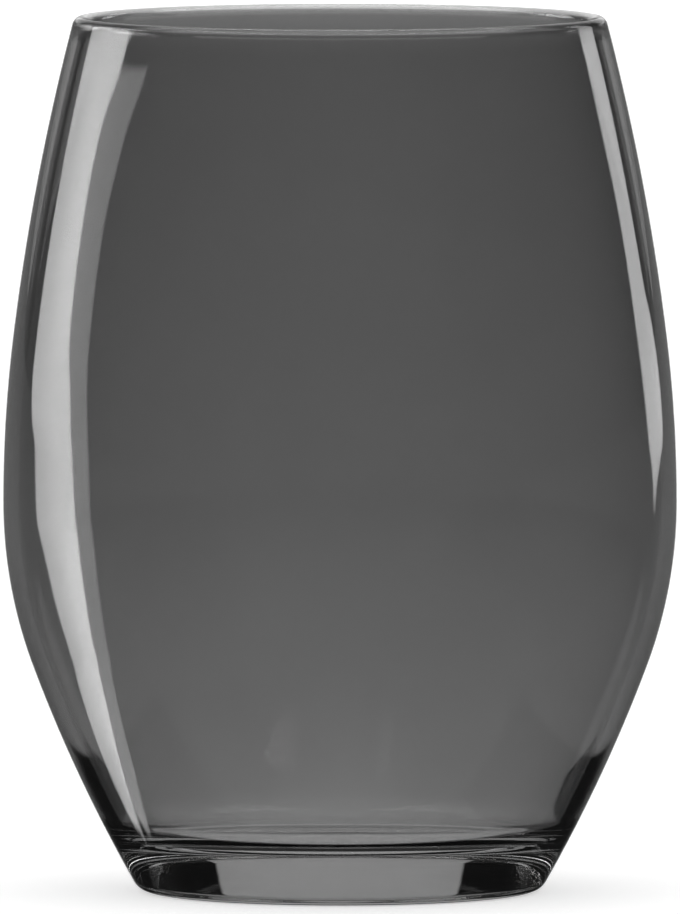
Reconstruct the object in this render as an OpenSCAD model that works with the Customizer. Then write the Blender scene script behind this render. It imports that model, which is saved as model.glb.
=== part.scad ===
// Highball glass: a barrel-shaped tumbler with a heavy base, and a smoke-grey coat on its outside.
// Lengths are in millimetres and angles in degrees. +Z is up, and the origin is the middle of the
// ring that the glass stands on.

/* [Outline] */
// Height from the table to the top of the lip
height = 105.4; // [92:0.2:120]
// Outside diameter at the widest point
belly_d = 81; // [76:0.5:90]
// Height of the widest point above the table
belly_z = 47; // [42:0.5:54]
// Outside diameter at the mouth, where the wall's curve comes up to the height of the lip
mouth_d = 63.8; // [56:0.2:68]
// Diameter at which the lower wall would reach the table if it had no heel radius
foot_d = 48.2; // [42:0.1:54]

/* [Curves of the wall] */
// Radius of the wall just above the widest point
belly_r = 163; // [120:1:220]
// Angle that this curve turns through
belly_turn = 7; // [4:0.5:9]
// Radius of the wall just below the widest point
shoulder_r = 56.6; // [45:0.1:75]
// Angle that this curve turns through
shoulder_turn = 20.5; // [15:0.5:24]
// Radius of the heel, between the lower wall and the table
heel_r = 2.4; // [1.5:0.1:4]

/* [Thickness of the glass] */
// Thickness of the side wall, which the lip rounds off
wall_t = 1.8; // [1:0.1:2.4]
// Height of the drinking floor above the table
floor_z = 6.7; // [5:0.1:14]
// Radius inside, between the side wall and the floor
floor_r = 5; // [3:0.5:16]

/* [Foot] */
// Width of the flat ring that the glass stands on
ring_w = 3.8; // [1:0.1:6]
// Depth of the shallow hollow inside that ring
punt_depth = 0.4; // [0.2:0.1:2]

/* [Smoke coat] */
// Thickness of the coat
coat_t = 0.08; // [0.05:0.01:0.3]
// Clearance between the coat and the glass under it
coat_gap = 0.02; // [0.01:0.005:0.05]
// Bare glass left between the coat and the round of the lip
bare_lip = 0; // [0:0.1:4]
// Angle by which the coat goes on round the heel
heel_cover = 24; // [4:1:40]

/* [Hidden] */
// Turns of the revolved surfaces
$fn = 180;
// Greatest distance between a curve and the chords that draw it
chord_gap = 0.004;

// Points and directions in the profile plane: [distance from the axis, height].
// Every curve of the wall is an arc, known by its centre, its radius and the angles of its outward
// normal at its two ends. A wall that is moved outwards by some distance keeps the centres and the
// angles, and its radii grow by that distance, so the inside and the coat stay true to the outside.

function normal(a) = [cos(a), sin(a)];

function chord_count(r, turn) =
    max(2, ceil(abs(turn) / (2 * acos(1 - chord_gap / max(abs(r), 2 * chord_gap)))));

// Points along an arc, both ends included
function arc(c, r, a0, a1) =
    let (n = chord_count(r, a1 - a0))
    [for (i = [0 : n]) c + r * normal(a0 + (a1 - a0) * i / n)];

// An arc that leaves point p, where its normal is at angle a, and runs to point q.
// way is 1 for an arc that climbs and -1 for one that falls. Gives [centre, radius, end angle].
function arc_to(p, a, q, way) =
    let (
        t = way * [-sin(a), cos(a)],
        d = q - p,
        bend = atan2(t.x * d.y - t.y * d.x, t * d),
        r = way * norm(d) / (2 * sin(bend))
    )
    [p - r * normal(a), r, a + 2 * bend];

// The four arcs of the outside wall, from the mouth to the foot
belly_c = [belly_d / 2 - belly_r, belly_z];
shoulder_c = [belly_d / 2 - shoulder_r, belly_z];
upper = arc_to(belly_c + belly_r * normal(belly_turn), belly_turn, [mouth_d / 2, height], 1);
lower = arc_to(shoulder_c + shoulder_r * normal(-shoulder_turn), -shoulder_turn, [foot_d / 2, 0], -1);

// The lip is a half round whose middle lies on the middle of the wall
lip_r = wall_t / 2;
lip_a = asin((height - lip_r - upper[0].y) / (upper[1] - lip_r));
lip_c = upper[0] + (upper[1] - lip_r) * normal(lip_a);

// Angle of the upper arc at a height
function upper_angle(z) = asin((z - upper[0].y) / upper[1]);

// A round of radius r between the lower wall, moved outwards by grow, and the level z.
// Gives [centre, radius, angle at the wall].
function corner(grow, z, r) =
    let (
        s = lower[1] + grow - r,
        rise = z + r - lower[0].y,
        c = [lower[0].x + sign(s) * sqrt(s * s - rise * rise), z + r],
        n = (c - lower[0]) / s
    )
    [c, r, atan2(n.y, n.x)];

heel = corner(0, 0, heel_r);
bowl = corner(-wall_t, floor_z, floor_r);

// The wall from angle top on the upper arc down to the corner round, moved outwards by grow
function wall(grow, top, round_off) = concat(
    arc(upper[0], upper[1] + grow, top, belly_turn),
    arc(belly_c, belly_r + grow, belly_turn, 0),
    arc(shoulder_c, shoulder_r + grow, 0, -shoulder_turn),
    arc(lower[0], lower[1] + grow, -shoulder_turn, round_off[2])
);

// The hollow under the foot is part of a large ball
punt_edge = heel[0].x - ring_w;
punt_r = (punt_edge * punt_edge + punt_depth * punt_depth) / (2 * punt_depth);
punt_c = [0, punt_depth - punt_r];

// Where the coat starts under the lip and ends on the heel
coat_top = upper_angle((lip_c + lip_r * normal(lip_a)).y - bare_lip);
coat_end = heel[2] - heel_cover;

function reversed(list) = [for (i = [len(list) - 1 : -1 : 0]) list[i]];

// The part of the outside that the coat covers, moved outwards by grow. The glass takes this line
// as it is, and the coat takes it moved outwards by its clearance, so that it follows every size.
function coated(grow) = concat(
    wall(grow, coat_top, heel),
    arc(heel[0], heel[1] + grow, heel[2], coat_end)
);

// One piece of clear glass: wall, lip, heavy base, floor with its corner round, and foot
module glass_body() {
    color([0.86, 0.88, 0.89, 0.5])
    rotate_extrude()
    polygon(concat(
        arc(lip_c, lip_r, lip_a + 180, lip_a),
        arc(upper[0], upper[1], lip_a, coat_top),
        coated(0),
        arc(heel[0], heel[1], coat_end, -90),
        arc(punt_c, punt_r, acos(punt_edge / punt_r), 90),
        [[0, floor_z]],
        reversed(concat(
            wall(-wall_t, lip_a, bowl),
            arc(bowl[0], bowl[1], bowl[2], -90)
        ))
    ));
}

// The grey coat that covers the outside from under the lip to the heel
module smoke_coat() {
    color([0.25, 0.25, 0.26, 0.6])
    rotate_extrude()
    polygon(concat(coated(coat_gap + coat_t), reversed(coated(coat_gap))));
}

glass_body();
smoke_coat();
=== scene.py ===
"""Highball glass: a barrel-shaped tumbler of clear glass with a smoke-grey coat on its outside."""

import logging
import math
from dataclasses import dataclass, field
from enum import Enum
from typing import Optional

import bmesh
import bpy
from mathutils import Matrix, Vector


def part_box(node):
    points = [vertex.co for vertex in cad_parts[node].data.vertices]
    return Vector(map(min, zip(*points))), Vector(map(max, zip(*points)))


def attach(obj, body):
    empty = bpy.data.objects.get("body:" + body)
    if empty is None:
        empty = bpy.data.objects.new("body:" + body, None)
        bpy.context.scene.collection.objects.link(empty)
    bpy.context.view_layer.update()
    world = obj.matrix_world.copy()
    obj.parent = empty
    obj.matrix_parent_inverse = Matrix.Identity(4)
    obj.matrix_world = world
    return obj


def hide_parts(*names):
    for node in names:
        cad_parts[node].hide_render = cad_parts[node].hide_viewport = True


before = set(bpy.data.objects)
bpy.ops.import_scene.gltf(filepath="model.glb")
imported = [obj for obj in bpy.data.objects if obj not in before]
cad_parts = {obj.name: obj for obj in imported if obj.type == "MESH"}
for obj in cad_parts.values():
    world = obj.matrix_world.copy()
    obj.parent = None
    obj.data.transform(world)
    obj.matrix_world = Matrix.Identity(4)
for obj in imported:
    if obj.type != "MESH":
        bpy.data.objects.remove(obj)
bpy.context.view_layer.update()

log = logging.getLogger("highball_glass")

MM = 0.001
IMAGE_SIZE = (680, 914)


class Climb(Enum):
    """Which way along the wall an arc runs."""

    UP = 1
    DOWN = -1


def normal_at(angle: float) -> Vector:
    """Gives the unit vector at an angle in the profile plane, in degrees from the horizontal."""
    turn = math.radians(angle)
    return Vector((math.cos(turn), math.sin(turn)))


@dataclass(frozen=True)
class Arc:
    """A round stretch of a profile, in the plane of distance from the axis and height.

    Attributes:
        centre: the middle of the arc's circle.
        radius: the circle's radius, negative where the wall is hollow.
        start: angle of the outward normal where the arc starts, in degrees.
        end: angle of the outward normal where it ends.
    """

    centre: Vector
    radius: float
    start: float
    end: float

    def grown(self, by: float) -> "Arc":
        """Gives the same arc moved outwards by a distance."""
        return Arc(self.centre, self.radius + by, self.start, self.end)

    def between(self, start: Optional[float] = None, end: Optional[float] = None) -> "Arc":
        """Gives a stretch of this arc's circle, from its own ends where none is given."""
        return Arc(
            self.centre,
            self.radius,
            self.start if start is None else start,
            self.end if end is None else end,
        )

    def reversed(self) -> "Arc":
        """Gives the same arc, run the other way."""
        return Arc(self.centre, self.radius, self.end, self.start)

    def point(self, angle: float) -> Vector:
        """Gives the arc's point at an angle of its normal."""
        return self.centre + self.radius * normal_at(angle)

    def angle_at_height(self, height: float) -> float:
        """Gives the angle of the normal where the arc is at a height."""
        return math.degrees(math.asin((height - self.centre.y) / self.radius))

    def chords(self, gap: float) -> int:
        """Counts the straight steps that keep within a gap of the arc.

        Args:
            gap: greatest distance between the arc and a step.

        Returns:
            The number of steps.
        """
        step = 2 * math.degrees(math.acos(1 - gap / max(abs(self.radius), 2 * gap)))
        return max(3, math.ceil(abs(self.end - self.start) / step))

    @classmethod
    def leaving(cls, point: Vector, angle: float, target: Vector, way: Climb) -> "Arc":
        """Makes the arc that leaves a point smoothly and runs to another point.

        Args:
            point: where the arc starts.
            angle: angle of the outward normal there, in degrees.
            target: where it ends.
            way: whether it climbs or falls.

        Returns:
            The arc.
        """
        tangent = way.value * normal_at(angle + 90)
        chord = target - point
        bend = math.atan2(tangent.x * chord.y - tangent.y * chord.x, tangent.dot(chord))
        radius = way.value * chord.length / (2 * math.sin(bend))
        return cls(point - radius * normal_at(angle), radius, angle, angle + 2 * math.degrees(bend))


class ProfilePen:
    """Draws a profile in the XZ plane, one stretch after another, and turns it round the Z axis."""

    crease: float = math.radians(35.0)
    guard: float = 0.1 * MM

    def __init__(self, start: Vector, chord_gap: float) -> None:
        """Starts the profile at a point.

        Args:
            start: the first point, as distance from the axis and height.
            chord_gap: greatest distance between an arc and the steps that draw it.
        """
        self.mesh = bmesh.new()
        self.chord_gap = chord_gap
        self.tip = self.mesh.verts.new((start.x, 0.0, start.y))

    def line_to(self, target: Vector) -> None:
        """Draws a straight stretch to a point.

        Args:
            target: where the stretch ends.
        """
        made = bmesh.ops.extrude_vert_indiv(self.mesh, verts=[self.tip])
        self.tip = made["verts"][0]
        self.tip.co = (target.x, 0.0, target.y)

    def flat_to(self, target: Vector) -> None:
        """Draws a level stretch to a point, with a narrow step at each end that keeps its shading flat.

        Args:
            target: where the stretch ends.
        """
        start = Vector((self.tip.co.x, self.tip.co.z))
        step = (target - start).normalized() * self.guard
        for point in (start + step, target - step, target):
            self.line_to(point)

    def arc(self, arc: Arc) -> None:
        """Draws a round stretch by spinning the tip about the arc's centre.

        Args:
            arc: the stretch, which starts at the tip.
        """
        made = bmesh.ops.spin(
            self.mesh,
            geom=[self.tip],
            cent=(arc.centre.x, 0.0, arc.centre.y),
            axis=(0.0, -1.0, 0.0),
            dvec=(0.0, 0.0, 0.0),
            angle=math.radians(arc.end - arc.start),
            steps=arc.chords(self.chord_gap),
            use_merge=False,
            use_duplicate=False,
        )
        self.tip = next(item for item in made["geom_last"] if isinstance(item, bmesh.types.BMVert))

    def turned(self, name: str, steps: int, seam: float) -> bpy.types.Object:
        """Turns the profile into a closed surface round the Z axis.

        Args:
            name: the piece's name.
            steps: number of steps round the axis.
            seam: distance within which points are merged.

        Returns:
            The piece, at the origin, with its faces pointing outwards.
        """
        bm = self.mesh
        bmesh.ops.spin(
            bm,
            geom=bm.verts[:] + bm.edges[:],
            cent=(0.0, 0.0, 0.0),
            axis=(0.0, 0.0, 1.0),
            dvec=(0.0, 0.0, 0.0),
            angle=math.tau,
            steps=steps,
            use_merge=True,
            use_duplicate=False,
        )
        bmesh.ops.remove_doubles(bm, verts=bm.verts[:], dist=seam)
        bmesh.ops.recalc_face_normals(bm, faces=bm.faces[:])
        for face in bm.faces:
            face.smooth = True
        for edge in bm.edges:
            edge.smooth = edge.calc_face_angle(0.0) < self.crease
        data = bpy.data.meshes.new(name)
        bm.to_mesh(data)
        bm.free()
        piece = bpy.data.objects.new(name, data)
        bpy.context.scene.collection.objects.link(piece)
        return piece


@dataclass(frozen=True)
class BarrelShape:
    """The shape of the tumbler: the arcs of its outside, and what follows from them."""

    height: float
    belly_radius: float
    belly_height: float = 47.0 * MM
    mouth_radius: float = 31.9 * MM
    foot_radius: float = 24.1 * MM
    belly_curve: float = 163.0 * MM
    belly_turn: float = 7.0
    shoulder_curve: float = 56.6 * MM
    shoulder_turn: float = 20.5
    heel_curve: float = 2.4 * MM
    wall: float = 1.8 * MM
    floor_height: float = 6.7 * MM
    floor_curve: float = 5.0 * MM
    ring_width: float = 3.8 * MM
    punt_depth: float = 0.4 * MM
    bare_lip: float = 0.0 * MM
    heel_cover: float = 24.0

    @property
    def belly(self) -> Arc:
        """The arc just above the widest point."""
        centre = Vector((self.belly_radius - self.belly_curve, self.belly_height))
        return Arc(centre, self.belly_curve, self.belly_turn, 0.0)

    @property
    def shoulder(self) -> Arc:
        """The arc just below the widest point."""
        centre = Vector((self.belly_radius - self.shoulder_curve, self.belly_height))
        return Arc(centre, self.shoulder_curve, 0.0, -self.shoulder_turn)

    @property
    def upper(self) -> Arc:
        """The arc from the belly up to the mouth, run downwards."""
        start = self.belly.point(self.belly_turn)
        mouth = Vector((self.mouth_radius, self.height))
        return Arc.leaving(start, self.belly_turn, mouth, Climb.UP).reversed()

    @property
    def lower(self) -> Arc:
        """The arc from the shoulder down to the foot."""
        start = self.shoulder.point(-self.shoulder_turn)
        return Arc.leaving(start, -self.shoulder_turn, Vector((self.foot_radius, 0.0)), Climb.DOWN)

    @property
    def lip(self) -> Arc:
        """The half round of the lip, from the inside over the top to the outside."""
        upper = self.upper
        radius = self.wall / 2
        middle = upper.grown(-radius)
        angle = middle.angle_at_height(self.height - radius)
        return Arc(middle.point(angle), radius, angle + 180.0, angle)

    def corner(self, grow: float, level: float, radius: float) -> Arc:
        """Makes the round between the lower wall and a level face.

        Args:
            grow: distance by which the lower wall is moved outwards.
            level: height of the level face.
            radius: radius of the round.

        Returns:
            The round, from the wall to the level face.
        """
        lower = self.lower
        reach = lower.radius + grow - radius
        rise = level + radius - lower.centre.y
        across = math.copysign(math.sqrt(reach * reach - rise * rise), reach)
        return Arc(
            lower.centre + Vector((across, rise)),
            radius,
            math.degrees(math.atan2(rise / reach, across / reach)),
            -90.0,
        )

    @property
    def heel(self) -> Arc:
        """The round between the outside wall and the table."""
        return self.corner(0.0, 0.0, self.heel_curve)

    @property
    def bowl(self) -> Arc:
        """The round between the inside wall and the drinking floor."""
        return self.corner(-self.wall, self.floor_height, self.floor_curve)

    @property
    def punt(self) -> Arc:
        """The shallow hollow under the foot, from its edge to the axis."""
        edge = self.heel.centre.x - self.ring_width
        radius = (edge * edge + self.punt_depth * self.punt_depth) / (2 * self.punt_depth)
        start = math.degrees(math.acos(edge / radius))
        return Arc(Vector((0.0, self.punt_depth - radius)), radius, start, 90.0)

    def wall_arcs(self, grow: float, corner: Arc) -> list[Arc]:
        """Lists the arcs of a wall from the lip down to its corner.

        Args:
            grow: distance by which the wall is moved outwards.
            corner: the round at the wall's foot.

        Returns:
            The four arcs, from the top down.
        """
        return [
            self.upper.between(start=self.lip.end).grown(grow),
            self.belly.grown(grow),
            self.shoulder.grown(grow),
            self.lower.between(end=corner.start).grown(grow),
        ]

    @property
    def coat_top(self) -> float:
        """The angle of the upper arc where the coat starts."""
        return self.upper.angle_at_height(self.lip.point(self.lip.end).y - self.bare_lip)


class NodeSheet:
    """Adds nodes to a material's or world's node tree and joins them."""

    def __init__(self, tree: bpy.types.NodeTree) -> None:
        """Starts with an empty tree."""
        self.tree = tree
        tree.nodes.clear()

    def add(self, kind: str, **settings: object) -> bpy.types.Node:
        """Adds a node of a kind and sets its properties.

        Args:
            kind: the node's type.
            settings: values of its properties.

        Returns:
            The node.
        """
        node = self.tree.nodes.new(kind)
        for name, value in settings.items():
            setattr(node, name, value)
        return node

    def feed(self, target: bpy.types.NodeSocket, value: object) -> None:
        """Gives a socket a plain value, or joins an output to it.

        Args:
            target: the socket to feed.
            value: a plain value or an output.
        """
        if isinstance(value, bpy.types.NodeSocket):
            self.tree.links.new(value, target)
        else:
            target.default_value = value

    def maths(self, operation: str, *values: object) -> bpy.types.NodeSocket:
        """Adds a Math node.

        Args:
            operation: the node's operation.
            values: its inputs, as numbers or sockets.

        Returns:
            The node's output.
        """
        node = self.add("ShaderNodeMath", operation=operation)
        for socket, value in zip(node.inputs, values):
            self.feed(socket, value)
        return node.outputs[0]

    def ramp(self, value: bpy.types.NodeSocket, low: float, high: float, bottom: float, top: float,
             kind: str = "SMOOTHSTEP") -> bpy.types.NodeSocket:
        """Adds a Map Range node.

        Args:
            value: the number to map.
            low: where the ramp starts.
            high: where it ends.
            bottom: the result up to its start.
            top: the result from its end on.
            kind: the ramp's interpolation.

        Returns:
            The node's output.
        """
        node = self.add("ShaderNodeMapRange", interpolation_type=kind)
        for name, number in (("Value", value), ("From Min", low), ("From Max", high),
                             ("To Min", bottom), ("To Max", top)):
            self.feed(node.inputs[name], number)
        return node.outputs["Result"]

    def pick(self, flag: bpy.types.NodeSocket, yes: object, no: object) -> bpy.types.NodeSocket:
        """Gives one of two numbers by a flag, or a mix of them between its ends.

        Args:
            flag: 1 for yes, 0 for no.
            yes: the number at 1.
            no: the number at 0.

        Returns:
            A socket with the result.
        """
        node = self.add("ShaderNodeMix", data_type="FLOAT")
        self.feed(node.inputs[0], flag)
        self.feed(node.inputs[2], no)
        self.feed(node.inputs[3], yes)
        return node.outputs[0]

    def curve(self, value: bpy.types.NodeSocket, points: tuple) -> bpy.types.NodeSocket:
        """Maps a number by a smooth curve through points.

        Args:
            value: the number to map.
            points: (from, to) pairs in rising order.

        Returns:
            A socket with the result.
        """
        low, high = points[0][0], points[-1][0]
        least = min(to for _, to in points)
        most = max(to for _, to in points)
        span = max(most - least, 1e-6)
        node = self.add("ShaderNodeFloatCurve")
        track = node.mapping.curves[0].points
        while len(track) < len(points):
            track.new(0.5, 0.5)
        for knot, (at, to) in zip(track, points):
            knot.location = ((at - low) / (high - low), (to - least) / span)
        node.mapping.update()
        self.feed(node.inputs["Value"], self.ramp(value, low, high, 0.0, 1.0, "LINEAR"))
        return self.ramp(node.outputs["Value"], 0.0, 1.0, least, most, "LINEAR")

    def below(self, value: object, limit: object, soft: float) -> bpy.types.NodeSocket:
        """Gives 1 under a limit and 0 over it, with a soft edge.

        Args:
            value: the number to test.
            limit: the limit.
            soft: width of the edge.

        Returns:
            A socket with the result.
        """
        room = self.maths("DIVIDE", self.maths("SUBTRACT", limit, value), soft)
        return self.ramp(room, -0.5, 0.5, 0.0, 1.0)

    def window(self, value: object, low: object, high: object, soft: float) -> bpy.types.NodeSocket:
        """Gives 1 between two limits and 0 outside them, with soft edges.

        Args:
            value: the number to test.
            low: the lower limit.
            high: the upper limit.
            soft: width of each edge.

        Returns:
            A socket with the result.
        """
        return self.maths("MULTIPLY", self.below(low, value, soft), self.below(value, high, soft))


@dataclass(frozen=True)
class ClearGlass:
    """Colourless soda-lime glass, a little greyer where it is seen along its face.

    Towards the top of the piece, from lip_start to lip_end below it, the glass bends light less and lets
    more of it straight through, so that the round lip reads as a pale rim.
    """

    top: float
    name: str = "clear_glass"
    face: tuple = (0.988, 0.988, 0.988, 1.0)
    edge: tuple = (0.96, 0.96, 0.96, 1.0)
    edge_blend: float = 0.3
    ior: float = 1.52
    lip_ior: float = 1.25
    lip_clear: float = 0.6
    lip_start: float = 1.4 * MM
    lip_end: float = 0.2 * MM

    def material(self) -> bpy.types.Material:
        """Makes the material.

        Returns:
            The material.
        """
        material = bpy.data.materials.new(self.name)
        material.use_nodes = True
        sheet = NodeSheet(material.node_tree)
        weight = sheet.add("ShaderNodeLayerWeight")
        weight.inputs["Blend"].default_value = self.edge_blend
        tint = sheet.add("ShaderNodeMix", data_type="RGBA")
        sheet.feed(tint.inputs[0], weight.outputs["Facing"])
        sheet.feed(tint.inputs[6], self.face)
        sheet.feed(tint.inputs[7], self.edge)
        shader = sheet.add("ShaderNodeBsdfPrincipled")
        sheet.feed(shader.inputs["Base Color"], tint.outputs[2])
        shader.inputs["Roughness"].default_value = 0.0
        split = sheet.add("ShaderNodeSeparateXYZ")
        sheet.feed(split.inputs[0], sheet.add("ShaderNodeTexCoord").outputs["Object"])
        low, high = self.top - self.lip_start, self.top - self.lip_end
        bend = sheet.ramp(split.outputs["Z"], low, high, self.ior, self.lip_ior)
        cover = sheet.ramp(split.outputs["Z"], low, high, 1.0, 1.0 - self.lip_clear)
        sheet.feed(shader.inputs["IOR"], bend)
        sheet.feed(shader.inputs["Alpha"], cover)
        shader.inputs["Transmission Weight"].default_value = 1.0
        out = sheet.add("ShaderNodeOutputMaterial")
        sheet.feed(out.inputs["Surface"], shader.outputs["BSDF"])
        return material


@dataclass(frozen=True)
class SmokeFilm:
    """A thin, glossy, see-through grey coat, faintly cloudy and a little denser towards the foot."""

    name: str = "smoke_film"
    colour: tuple = (0.01, 0.01, 0.01, 1.0)
    smooth: float = 0.015
    dull: float = 0.03
    cover: float = 0.22
    cover_slope: float = 0.006
    cloud: float = 0.008
    cloud_scale: float = 60.0
    grain_scale: float = 900.0
    reach: float = 0.1
    edge_gain: float = 0.38
    ior: float = 1.5

    def material(self) -> bpy.types.Material:
        """Makes the material.

        Returns:
            The material.
        """
        material = bpy.data.materials.new(self.name)
        material.use_nodes = True
        sheet = NodeSheet(material.node_tree)
        place = sheet.add("ShaderNodeTexCoord").outputs["Object"]
        split = sheet.add("ShaderNodeSeparateXYZ")
        sheet.feed(split.inputs[0], place)
        graded = sheet.ramp(split.outputs["Z"], 0.0, self.reach, self.cover + self.cover_slope,
                            self.cover - self.cover_slope, "LINEAR")
        clouds = self.noise(sheet, place, self.cloud_scale)
        clouds = sheet.ramp(clouds, 0.25, 0.75, -self.cloud, self.cloud, "LINEAR")
        slant = sheet.add("ShaderNodeLayerWeight").outputs["Facing"]
        slant = sheet.ramp(slant, 0.0, 1.0, 1.0, 1.0 + self.edge_gain, "LINEAR")
        density = sheet.maths("MULTIPLY", sheet.maths("ADD", graded, clouds), slant)
        grain = self.noise(sheet, place, self.grain_scale)
        shader = sheet.add("ShaderNodeBsdfPrincipled")
        shader.inputs["Base Color"].default_value = self.colour
        sheet.feed(shader.inputs["Roughness"], sheet.ramp(grain, 0.3, 0.7, self.smooth, self.dull))
        shader.inputs["IOR"].default_value = self.ior
        sheet.feed(shader.inputs["Alpha"], density)
        out = sheet.add("ShaderNodeOutputMaterial")
        sheet.feed(out.inputs["Surface"], shader.outputs["BSDF"])
        return material

    def noise(self, sheet: NodeSheet, place: bpy.types.NodeSocket, scale: float) -> bpy.types.NodeSocket:
        """Adds a soft noise.

        Args:
            sheet: the material's nodes.
            place: the place on the piece.
            scale: how many clouds lie on a metre.

        Returns:
            A socket with the noise's value.
        """
        node = sheet.add("ShaderNodeTexNoise")
        sheet.feed(node.inputs["Vector"], place)
        node.inputs["Scale"].default_value = scale
        node.inputs["Detail"].default_value = 2.0
        return node.outputs[0]


@dataclass
class GlassBody:
    """The one piece of clear glass: wall, lip, heavy base, floor and foot."""

    shape: BarrelShape
    finish: ClearGlass
    steps: int = 256
    chord_gap: float = 0.002 * MM
    seam: float = 0.0005 * MM
    piece: Optional[bpy.types.Object] = field(default=None, init=False)

    def build(self) -> None:
        """Draws the profile from the floor's middle over the lip to the foot, and turns it."""
        shape = self.shape
        inside = [arc.reversed() for arc in reversed(shape.wall_arcs(-shape.wall, shape.bowl))]
        pen = ProfilePen(Vector((0.0, shape.floor_height)), self.chord_gap)
        pen.flat_to(shape.bowl.point(-90.0))
        for arc in [shape.bowl.reversed(), *inside, shape.lip, *shape.wall_arcs(0.0, shape.heel), shape.heel]:
            pen.arc(arc)
        pen.flat_to(shape.punt.point(shape.punt.start))
        pen.arc(shape.punt)
        self.piece = pen.turned("glass_blank", self.steps, self.seam)

    def dress(self) -> None:
        """Gives the piece its finish and its place in the frame."""
        self.piece.data.materials.append(self.finish.material())
        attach(self.piece, "root")
        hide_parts("glass_body")


@dataclass
class SmokeCoat:
    """The grey coat on the outside, from under the lip to the heel."""

    shape: BarrelShape
    finish: SmokeFilm
    inner_gap: float = 0.02 * MM
    thickness: float = 0.08 * MM
    steps: int = 256
    chord_gap: float = 0.002 * MM
    seam: float = 0.0005 * MM
    piece: Optional[bpy.types.Object] = field(default=None, init=False)

    def face(self, grow: float) -> list[Arc]:
        """Lists the arcs of one face of the coat.

        Args:
            grow: the face's distance from the glass.

        Returns:
            The arcs, from the top down.
        """
        heel = self.shape.heel
        upper, *rest = self.shape.wall_arcs(grow, heel)
        end = heel.start - self.shape.heel_cover
        return [upper.between(start=self.shape.coat_top), *rest, heel.between(end=end).grown(grow)]

    def build(self) -> None:
        """Draws the coat's outer face downwards and its inner face back up, and turns them."""
        outer = self.face(self.inner_gap + self.thickness)
        inner = [arc.reversed() for arc in reversed(self.face(self.inner_gap))]
        top = outer[0].point(outer[0].start)
        pen = ProfilePen(top, self.chord_gap)
        for arc in outer:
            pen.arc(arc)
        pen.line_to(inner[0].point(inner[0].start))
        for arc in inner:
            pen.arc(arc)
        pen.line_to(top)
        self.piece = pen.turned("smoke_coat_film", self.steps, self.seam)

    def dress(self) -> None:
        """Gives the piece its finish and its place in the frame."""
        self.piece.data.materials.append(self.finish.material())
        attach(self.piece, "root")
        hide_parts("smoke_coat")


@dataclass(frozen=True)
class Strip:
    """A tall lit panel that the glass mirrors, by the directions that it fills, in degrees.

    Azimuth is measured from straight behind the glass, positive to the right. The edges are given
    as (height, azimuth) points, and the light at the left edge as (height, light) points. At the
    right edge it is fade times that light. The top rises by lean degrees for each degree to the left.
    """

    left: tuple
    right: tuple
    light: tuple
    bottom: float
    top: float
    fade: float = 1.0
    lean: float = 0.0
    soft: float = 1.5
    end_soft: float = 1.0

    def lit(self, sheet: NodeSheet, azimuth: bpy.types.NodeSocket,
            height: bpy.types.NodeSocket) -> bpy.types.NodeSocket:
        """Gives the panel's light in a direction.

        Args:
            sheet: the world's nodes.
            azimuth: the direction's azimuth.
            height: the direction's height above the horizon.

        Returns:
            A socket with the light.
        """
        left = sheet.curve(height, self.left)
        right = sheet.curve(height, self.right)
        across = sheet.window(azimuth, left, right, self.soft)
        top = sheet.maths("SUBTRACT", self.top, sheet.maths("MULTIPLY", azimuth, self.lean))
        along = sheet.window(height, self.bottom, top, self.end_soft)
        width = sheet.maths("SUBTRACT", right, left)
        share = sheet.maths("DIVIDE", sheet.maths("SUBTRACT", azimuth, left), width)
        fading = sheet.ramp(share, 0.0, 1.0, 1.0, self.fade)
        light = sheet.maths("MULTIPLY", sheet.curve(height, self.light), fading)
        return sheet.maths("MULTIPLY", sheet.maths("MULTIPLY", across, along), light)


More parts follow.
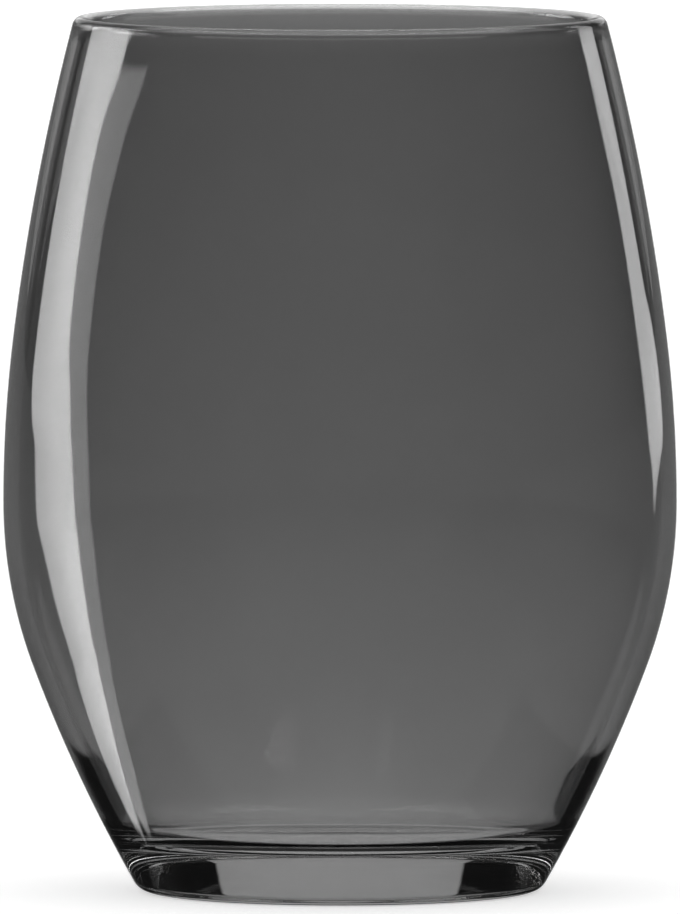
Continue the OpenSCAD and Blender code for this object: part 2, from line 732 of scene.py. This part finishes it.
@dataclass
class Studio:
    """A pale floor, soft light all round, lit panels and the camera.

    The floor and the surroundings differ for the camera, for reflections and for what is seen through the
    glass. Angles are in degrees: azimuth from straight behind the glass, and height above the horizon.
    """

    # Floor as the camera sees it
    floor_reach: float = 8.0
    floor_sides: int = 96
    floor_drop: float = 0.05 * MM
    floor_lit: float = 0.9
    floor_lift: float = 0.5

    # Floor as it is seen through the glass: a painted glow, brightest near the foot and falling off away from
    # it
    floor_near: float = 0.66
    floor_far: float = 0.125
    floor_fall: float = 0.29
    # painted shade: the floor's glow is darker under the foot, where the glass shades the table
    under_foot_painted_shade: float = 0.79
    under_foot_shade_edge: tuple = (22.0 * MM, 25.0 * MM)
    # painted contact shadow: a dark ring in the floor's glow where the foot stands, on the front half only
    contact_painted_shadow: float = 0.06
    contact_in: float = 20.8 * MM
    contact_out: float = 25.5 * MM
    contact_soft: float = 0.6 * MM
    contact_front: float = -3.0 * MM
    contact_front_soft: float = 6.0 * MM

    # Painted shade in the floor's glow on both sides of the foot, seen only through the glass
    painted_side_shade_in: float = 25.0 * MM
    painted_side_shade_out: float = 58.0 * MM
    painted_side_shade_start: float = -30.0 * MM
    painted_side_shade_end: float = 98.0 * MM
    painted_side_shade_flare: float = 0.19
    painted_side_shade_soft: float = 2.5 * MM

    # Surroundings as they are seen through the glass
    white: float = 0.88
    sky_half: float = 22.4
    sky_flare: float = 0.45
    sky_soft: float = 1.2
    sky_top: float = 20.0
    sky_top_soft: float = 4.0
    front: float = 0.16
    front_top: float = 0.6
    front_rise: tuple = (40.0, 55.0)
    front_edge: tuple = (125.0, 150.0)
    dark: float = 0.004

    # Surroundings in reflections
    mirrored_low: float = 0.02
    backdrop_light: float = 1.5
    backdrop_half: float = 22.0
    backdrop_soft: float = 12.0
    backdrop_low: float = 4.0
    backdrop_low_soft: float = 3.0
    collar_light: float = 6.0
    collar_low: float = 42.0
    collar_high: float = 58.0
    collar_soft: float = 6.0
    wings_light: float = 0.25
    wings_half: float = 40.0
    wings_soft: float = 16.0
    wings_low: float = -8.0
    wings_low_soft: float = 12.0
    seam: tuple = ((-33, -66), (-30, -54.5), (-29, -62), (-27.5, -68), (-24, -72), (-11, -77.5), (-5, -77),
                   (1.5, -72.5), (8, -67), (14, -74), (30, -80))
    strips: tuple = (
        Strip(
            left=seam,
            right=((-33, -51), (-29, -50), (-26.5, -47.5), (-22, -55), (-15, -57), (-5, -52.5), (-1.5, -50),
                   (1, -44), (4, -44), (30, -44)),
            light=((-33, 11), (-28, 11), (-12, 13.5), (0, 11), (30, 10.5)),
            bottom=-29.4, top=28.0, fade=0.42),
        Strip(
            left=((-33, -62), (-31.5, -69), (-29, -75.5), (-25, -80), (-11, -85.5), (-3, -84.5), (8, -79.5),
                  (12, -82.5), (16, -89), (30, -105)),
            right=seam,
            light=((-33, 3), (-20, 2.7), (-8, 3.2), (30, 3.2)),
            bottom=-32.3, top=0.3, lean=0.18, end_soft=0.5),
        Strip(
            left=((-6, 43), (-4, 42), (-2.5, 36), (-1.5, 31.5), (2, 37), (4.5, 38.5), (30, 37)),
            right=((-6, 43), (-3.5, 43.5), (-1.5, 46.5), (2, 49), (5, 50), (9, 52.5), (30, 53)),
            light=((-6, 0.5), (-4.5, 0.8), (-2.5, 2.8), (3, 3.5), (30, 3.6)),
            bottom=-4.3, top=28.0, fade=1.3, soft=1.2, end_soft=0.6),
    )

    # Camera and light paths
    bounces: int = 6
    layers: int = 64
    sensor: float = 36.0
    near: float = 0.1
    far: float = 50.0
    camera_distance: float = 3500.0 * MM
    camera_elevation: float = 3.76
    aim_height: float = 52.32 * MM
    pixels_per_metre: float = 8306.8

    def light(self) -> None:
        """Builds the world: white to the camera, panels in reflections, a lit backdrop through the glass."""
        world = bpy.data.worlds.new("studio")
        bpy.context.scene.world = world
        world.use_nodes = True
        sheet = NodeSheet(world.node_tree)
        split = sheet.add("ShaderNodeSeparateXYZ")
        sheet.feed(split.inputs[0], sheet.add("ShaderNodeTexCoord").outputs["Generated"])
        x, y, z = split.outputs
        azimuth = sheet.maths("DEGREES", sheet.maths("ARCTAN2", x, y))
        height = sheet.maths("DEGREES", sheet.maths("ARCSINE", z))
        path = sheet.add("ShaderNodeLightPath").outputs
        strength = sheet.pick(path["Is Glossy Ray"], self.mirrored(sheet, azimuth, height), 1.0)
        strength = sheet.pick(path["Is Transmission Ray"], self.through(sheet, azimuth, height), strength)
        strength = sheet.pick(path["Is Camera Ray"], 1.0, strength)
        shader = sheet.add("ShaderNodeBackground")
        sheet.feed(shader.inputs["Strength"], strength)
        out = sheet.add("ShaderNodeOutputWorld")
        sheet.feed(out.inputs["Surface"], shader.outputs["Background"])

    def through(self, sheet: NodeSheet, azimuth: bpy.types.NodeSocket,
                height: bpy.types.NodeSocket) -> bpy.types.NodeSocket:
        """Gives the light of a direction that is seen through the glass.

        Args:
            sheet: the world's nodes.
            azimuth: the direction's azimuth.
            height: the direction's height above the horizon.

        Returns:
            A socket with the light.
        """
        aside = sheet.maths("ABSOLUTE", azimuth)
        half = sheet.maths("ADD", sheet.maths("MULTIPLY", height, self.sky_flare), self.sky_half)
        ahead = sheet.below(aside, half, self.sky_soft)
        low = sheet.below(height, self.sky_top, self.sky_top_soft)
        ahead = sheet.maths("MULTIPLY", ahead, sheet.maths("MULTIPLY", low, self.white))
        rise = sheet.ramp(height, *self.front_rise, self.front, self.front_top)
        front = sheet.maths("MULTIPLY", sheet.ramp(aside, *self.front_edge, 0.0, 1.0), rise)
        return sheet.maths("ADD", sheet.maths("ADD", ahead, front), self.dark)

    def mirrored(self, sheet: NodeSheet, azimuth: bpy.types.NodeSocket,
                 height: bpy.types.NodeSocket) -> bpy.types.NodeSocket:
        """Gives the light of a direction that is seen in a reflection.

        Args:
            sheet: the world's nodes.
            azimuth: the direction's azimuth.
            height: the direction's height above the horizon.

        Returns:
            A socket with the light.
        """
        backdrop = sheet.window(azimuth, -self.backdrop_half, self.backdrop_half, self.backdrop_soft)
        risen = sheet.below(self.backdrop_low, height, self.backdrop_low_soft)
        backdrop = sheet.maths("MULTIPLY", backdrop, risen)
        collar = sheet.window(height, self.collar_low, self.collar_high, self.collar_soft)
        wings = sheet.window(azimuth, -self.wings_half, self.wings_half, self.wings_soft)
        wings = sheet.maths("MULTIPLY", wings, sheet.below(self.wings_low, height, self.wings_low_soft))
        light = self.mirrored_low
        for panel, level in ((backdrop, self.backdrop_light), (collar, self.collar_light),
                             (wings, self.wings_light)):
            light = sheet.maths("ADD", light, sheet.maths("MULTIPLY", panel, level))
        for strip in self.strips:
            light = sheet.maths("ADD", light, strip.lit(sheet, azimuth, height))
        return light

    def floor(self) -> None:
        """Builds the floor, white to the camera with the object's shadow on it."""
        bm = bmesh.new()
        bmesh.ops.create_circle(bm, cap_ends=True, segments=self.floor_sides, radius=self.floor_reach)
        data = bpy.data.meshes.new("studio_floor")
        bm.to_mesh(data)
        bm.free()
        floor = bpy.data.objects.new("studio_floor", data)
        bpy.context.scene.collection.objects.link(floor)
        data.materials.append(self.floor_material())
        floor.visible_glossy = False
        floor.location.z = -self.floor_drop

    def floor_material(self) -> bpy.types.Material:
        """Makes the floor's material, which glows through the glass and is plain white otherwise.

        Returns:
            The material.
        """
        material = bpy.data.materials.new("pale_floor")
        material.use_nodes = True
        sheet = NodeSheet(material.node_tree)
        place = sheet.add("ShaderNodeTexCoord").outputs["Object"]
        lit = sheet.add("ShaderNodeBsdfDiffuse")
        lit.inputs["Color"].default_value = (self.floor_lit, self.floor_lit, self.floor_lit, 1.0)
        lift = sheet.add("ShaderNodeEmission")
        lift.inputs["Strength"].default_value = self.floor_lift
        plain = sheet.add("ShaderNodeAddShader")
        sheet.feed(plain.inputs[0], lit.outputs[0])
        sheet.feed(plain.inputs[1], lift.outputs[0])
        glow = sheet.add("ShaderNodeEmission")
        sheet.feed(glow.inputs["Strength"], self.floor_glow(sheet, place))
        mix = sheet.add("ShaderNodeMixShader")
        sheet.feed(mix.inputs[0], sheet.add("ShaderNodeLightPath").outputs["Is Transmission Ray"])
        sheet.feed(mix.inputs[1], plain.outputs[0])
        sheet.feed(mix.inputs[2], glow.outputs[0])
        out = sheet.add("ShaderNodeOutputMaterial")
        sheet.feed(out.inputs["Surface"], mix.outputs[0])
        return material

    def floor_glow(self, sheet: NodeSheet, place: bpy.types.NodeSocket) -> bpy.types.NodeSocket:
        """Gives the floor's painted light at a place, as it is seen through the glass: a glow that falls off
        away from the foot, with painted shade under and beside the foot and a painted contact shadow at its
        front.

        Args:
            sheet: the floor material's nodes.
            place: the place on the floor.

        Returns:
            A socket with the light.
        """
        length = sheet.add("ShaderNodeVectorMath", operation="LENGTH")
        sheet.feed(length.inputs[0], place)
        away = length.outputs["Value"]
        split = sheet.add("ShaderNodeSeparateXYZ")
        sheet.feed(split.inputs[0], place)
        x, y, _ = split.outputs
        # painted pool of light: the floor's glow falls off away from the foot
        fall = sheet.maths("DIVIDE", self.floor_fall, sheet.maths("ADD", away, self.floor_fall))
        glow = sheet.ramp(fall, 0.0, 1.0, self.floor_far, self.floor_near, "LINEAR")
        # painted shade under the foot
        glow = sheet.maths("MULTIPLY", glow, sheet.ramp(away, *self.under_foot_shade_edge, self.under_foot_painted_shade, 1.0))
        # painted shade: darker patches of the floor's glow on both sides of the foot
        inner = sheet.maths("ADD", sheet.maths("MULTIPLY", y, self.painted_side_shade_flare), self.painted_side_shade_in)
        beside = sheet.window(sheet.maths("ABSOLUTE", x), inner, self.painted_side_shade_out, self.painted_side_shade_soft)
        along = sheet.window(y, self.painted_side_shade_start, self.painted_side_shade_end, self.painted_side_shade_soft)
        side_shade_mask = sheet.maths("MULTIPLY", beside, along)
        glow = sheet.maths("MULTIPLY", glow, sheet.maths("SUBTRACT", 1.0, side_shade_mask))
        # painted contact shadow round the foot's ring, towards the front
        contact_shadow_mask = sheet.window(away, self.contact_in, self.contact_out, self.contact_soft)
        contact_shadow_mask = sheet.maths("MULTIPLY", contact_shadow_mask, sheet.below(y, self.contact_front, self.contact_front_soft))
        return sheet.maths("MULTIPLY", glow, sheet.pick(contact_shadow_mask, self.contact_painted_shadow, 1.0))

    def camera(self) -> None:
        """Sets the camera where the photograph was taken from."""
        data = bpy.data.cameras.new("camera")
        data.sensor_width = self.sensor
        data.lens = self.sensor * self.pixels_per_metre * self.camera_distance / max(IMAGE_SIZE)
        data.clip_start = self.near
        data.clip_end = self.far
        camera = bpy.data.objects.new("camera", data)
        bpy.context.scene.collection.objects.link(camera)
        tilt = math.radians(self.camera_elevation)
        back = Vector((0.0, -math.cos(tilt), math.sin(tilt)))
        camera.location = Vector((0.0, 0.0, self.aim_height)) + back * self.camera_distance
        camera.rotation_euler = (math.pi / 2 - tilt, 0.0, 0.0)
        bpy.context.scene.camera = camera

    def settings(self) -> None:
        """Sets plain colours, and few enough bounces that the base keeps its dark corners."""
        scene = bpy.context.scene
        scene.view_settings.view_transform = "Standard"
        cycles = scene.cycles
        cycles.max_bounces = self.bounces
        cycles.transmission_bounces = self.bounces
        cycles.glossy_bounces = self.bounces
        cycles.transparent_max_bounces = self.layers
        cycles.use_denoising = True


def main() -> None:
    """Builds the glass, its coat and the studio."""
    logging.basicConfig(level=logging.INFO, format="%(message)s")
    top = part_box("glass_body")[1]
    shape = BarrelShape(height=top.z, belly_radius=top.x)
    studio = Studio()
    studio.settings()
    studio.camera()
    studio.light()
    studio.floor()
    for part in (GlassBody(shape, ClearGlass(shape.height)), SmokeCoat(shape, SmokeFilm())):
        part.build()
        part.dress()
        log.info("built %s with %d faces", part.piece.name, len(part.piece.data.polygons))


if __name__ == "__main__":
    main()
